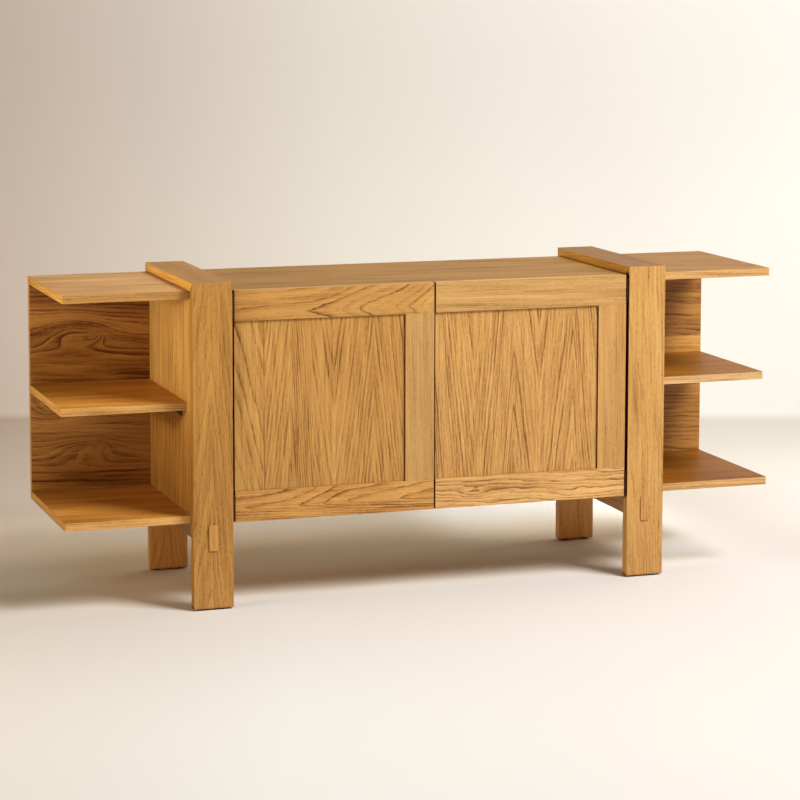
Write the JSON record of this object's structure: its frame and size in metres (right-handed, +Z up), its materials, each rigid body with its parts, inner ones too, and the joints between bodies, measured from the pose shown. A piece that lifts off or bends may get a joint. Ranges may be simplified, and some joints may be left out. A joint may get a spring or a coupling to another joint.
{
  "type": "buffet table",
  "caption": "Low sideboard buffet with push-open framed doors between two post frames and an open shelf unit at each end.",
  "frame": {"origin": "on the floor, under the middle of the table", "axes": "+X along the length to the right as seen from the front, +Z up, the doors face -Y"},
  "size_m": [1.8, 0.472, 0.776],
  "materials": {
    "frame_oak": "satin oiled oak, vertical grain",
    "top_oak": "satin oak, grain along the length",
    "wall_oak": "satin pale oak, vertical grain",
    "back_oak": "satin brown oak, grain along the length",
    "shelf_oak": "satin oak, grain along the length",
    "rail_oak": "satin oak, cathedral grain along the rail",
    "stile_oak": "satin oak, straight vertical grain",
    "panel_oak": "satin oak, vertical cathedral grain",
    "dowel_beech": "plain beech",
    "hinge_bronze": "dark bronze, satin",
    "black_metal": "matt black powder coat",
    "black_plastic": "moulded black",
    "steel": "zinc plated"
  },
  "bodies": {
    "cabinet": {"front_post_left": "frame_oak", "front_post_right": "frame_oak", "rear_post_left": "frame_oak", "rear_post_right": "frame_oak", "cap_left": "frame_oak", "cap_right": "frame_oak", "stretcher_left": "frame_oak", "stretcher_right": "frame_oak", "glides": "black_plastic", "top_board": "top_oak", "bottom_board": "shelf_oak", "wall_left": "wall_oak", "wall_right": "wall_oak", "partition": "wall_oak", "back_panel": "back_oak", "wing_shelf_left": "shelf_oak", "wing_shelf_right": "shelf_oak", "wing_back_upper_left": "back_oak", "wing_back_upper_right": "back_oak", "wing_back_lower_left": "back_oak", "wing_back_lower_right": "back_oak", "wing_back_rail_right": "rail_oak", "inner_shelf_left": "wall_oak", "inner_shelf_right": "wall_oak", "shelf_pins": "steel", "shelf_brackets": "black_metal", "bracket_screws": "black_metal", "hinge_post_screws": "hinge_bronze", "latch_screws": "steel", "carcass_dowels": "dowel_beech", "post_dowels": "dowel_beech", "wing_dowels": "dowel_beech", "cap_screws": "steel", "stretcher_screws": "steel", "left_hinge_post_leaves": "hinge_bronze", "left_hinge_pins": "hinge_bronze", "left_latch_body": "black_plastic", "right_hinge_post_leaves": "hinge_bronze", "right_hinge_pins": "hinge_bronze", "right_latch_body": "black_plastic"},
    "left_door": {"left_door_top_rail": "rail_oak", "left_door_bottom_rail": "rail_oak", "left_door_stile": "stile_oak", "left_door_panel": "panel_oak", "left_hinge_door_leaves": "hinge_bronze", "left_door_hinge_screws": "hinge_bronze", "left_strike_plate": "steel"},
    "right_door": {"right_door_top_rail": "rail_oak", "right_door_bottom_rail": "rail_oak", "right_door_stile": "stile_oak", "right_door_panel": "panel_oak", "right_hinge_door_leaves": "hinge_bronze", "right_door_hinge_screws": "hinge_bronze", "right_strike_plate": "steel"},
    "left_latch": {"left_latch_plunger": "steel"},
    "right_latch": {"right_latch_plunger": "steel"}
  },
  "joints": [
    {"name": "left_door_hinge", "type": "hinge", "parent": "cabinet", "child": "left_door", "pos_m": [-0.501, -0.228, 0.4805], "axis": [0, 0, -1], "range_deg": [0, 110]},
    {"name": "right_door_hinge", "type": "hinge", "parent": "cabinet", "child": "right_door", "pos_m": [0.501, -0.228, 0.4805], "axis": [0, 0, 1], "range_deg": [0, 110]},
    {"name": "left_latch_push", "type": "slide", "parent": "cabinet", "child": "left_latch", "axis": [0, 1, 0], "range_m": [0, 0.003], "stiffness_N_per_m": 400, "springref_m": -0.01},
    {"name": "right_latch_push", "type": "slide", "parent": "cabinet", "child": "right_latch", "axis": [0, 1, 0], "range_m": [0, 0.003], "stiffness_N_per_m": 400, "springref_m": -0.01}
  ]
}
